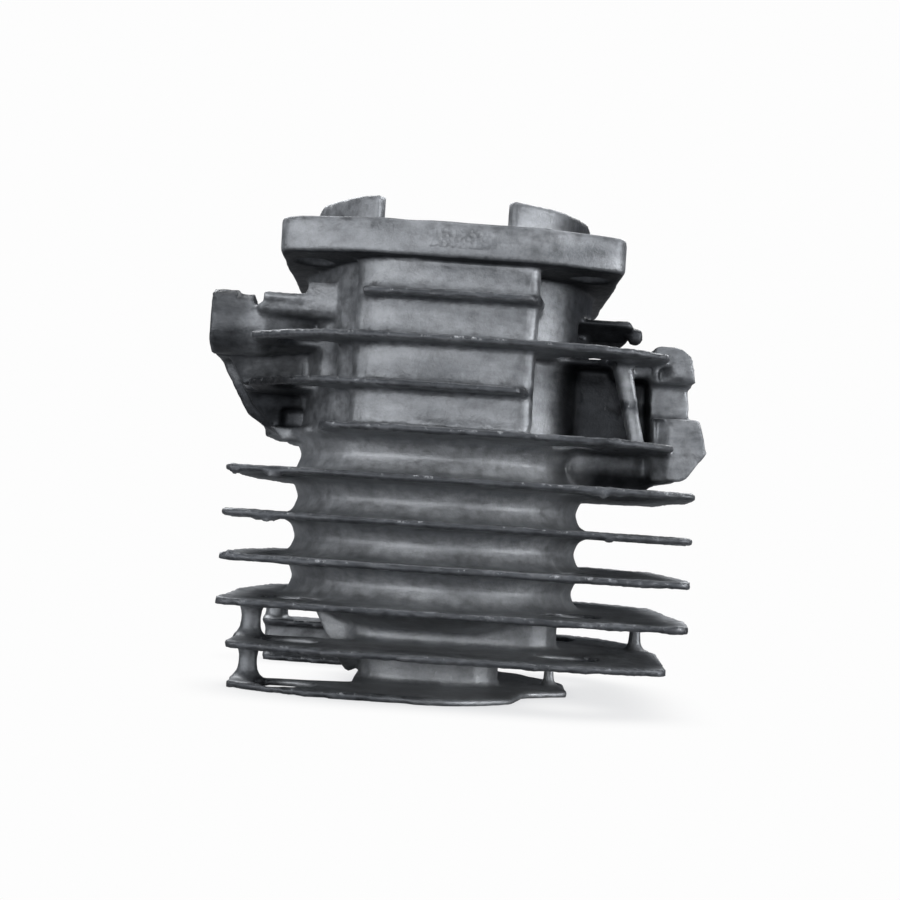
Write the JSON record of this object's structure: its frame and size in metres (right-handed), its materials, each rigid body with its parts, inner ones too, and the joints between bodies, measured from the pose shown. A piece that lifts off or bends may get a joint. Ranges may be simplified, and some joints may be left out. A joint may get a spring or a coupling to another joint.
{
  "type": "two-stroke engine cylinder with integral head",
  "caption": "Finned aluminium two-stroke cylinder with integral head, standing on its head, with the piston, rings, gudgeon pin and circlips inside its bore.",
  "frame": {"origin": "middle of the part's box, on the surface that the head's lowest fin stands on", "axes": "+Z along the bore, from the combustion chamber to the crankcase end; +X towards the exhaust flange; the gudgeon pin lies along Y"},
  "size_m": [0.0856, 0.0732, 0.0846],
  "materials": {
    "cast_aluminium": "as die-cast, dull, tumbled",
    "piston_aluminium": "fine-turned",
    "ring_iron": "phosphated, lapped edge",
    "pin_steel": "ground",
    "spring_steel": "drawn wire, oiled"
  },
  "bodies": {
    "cylinder": {"cylinder_casting": "cast_aluminium"},
    "piston": {"piston": "piston_aluminium", "piston_ring_upper": "ring_iron", "piston_ring_lower": "ring_iron", "ring_peg_upper": "pin_steel", "ring_peg_lower": "pin_steel", "circlip_front": "spring_steel", "circlip_back": "spring_steel"},
    "gudgeon_pin": {"gudgeon_pin": "pin_steel"}
  },
  "joints": [
    {"name": "piston_slide", "type": "slide", "parent": "cylinder", "child": "piston", "axis": [0, 0, 1], "range_m": [0, 0.032]},
    {"name": "gudgeon_pin_turn", "type": "hinge", "parent": "piston", "child": "gudgeon_pin", "pos_m": [-0.0018, 0, 0.0435], "axis": [0, 1, 0], "continuous": true}
  ]
}
